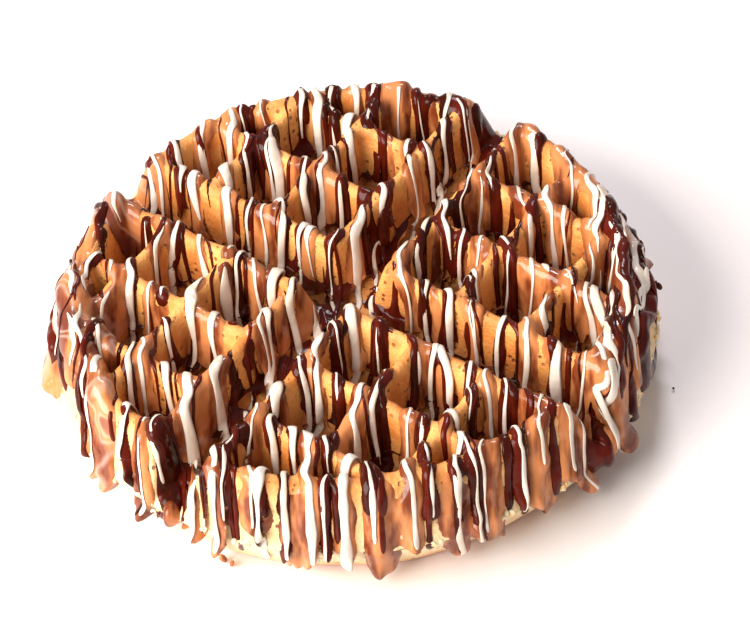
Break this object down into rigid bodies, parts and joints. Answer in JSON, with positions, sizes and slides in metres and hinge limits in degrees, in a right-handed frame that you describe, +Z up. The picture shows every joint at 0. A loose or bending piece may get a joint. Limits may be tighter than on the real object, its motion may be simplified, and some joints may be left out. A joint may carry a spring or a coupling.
{
  "type": "waffle",
  "caption": "Round quartered waffle with deep square pockets on both sides and drizzled chocolate running over its rim.",
  "frame": {"origin": "on the table under the middle of the waffle's bounding box", "axes": "+Z up, out of the drizzled side; X and Y along the two channels that divide the quarters"},
  "size_m": [0.1806, 0.1818, 0.0358],
  "materials": {
    "crust": "golden baked crust, matt, with small pinholes",
    "dark_chocolate": "glossy melted dark chocolate",
    "milk_chocolate": "glossy melted milk chocolate",
    "white_chocolate": "glossy melted white chocolate"
  },
  "bodies": {
    "root": {"waffle": "crust"}
  },
  "joints": []
}
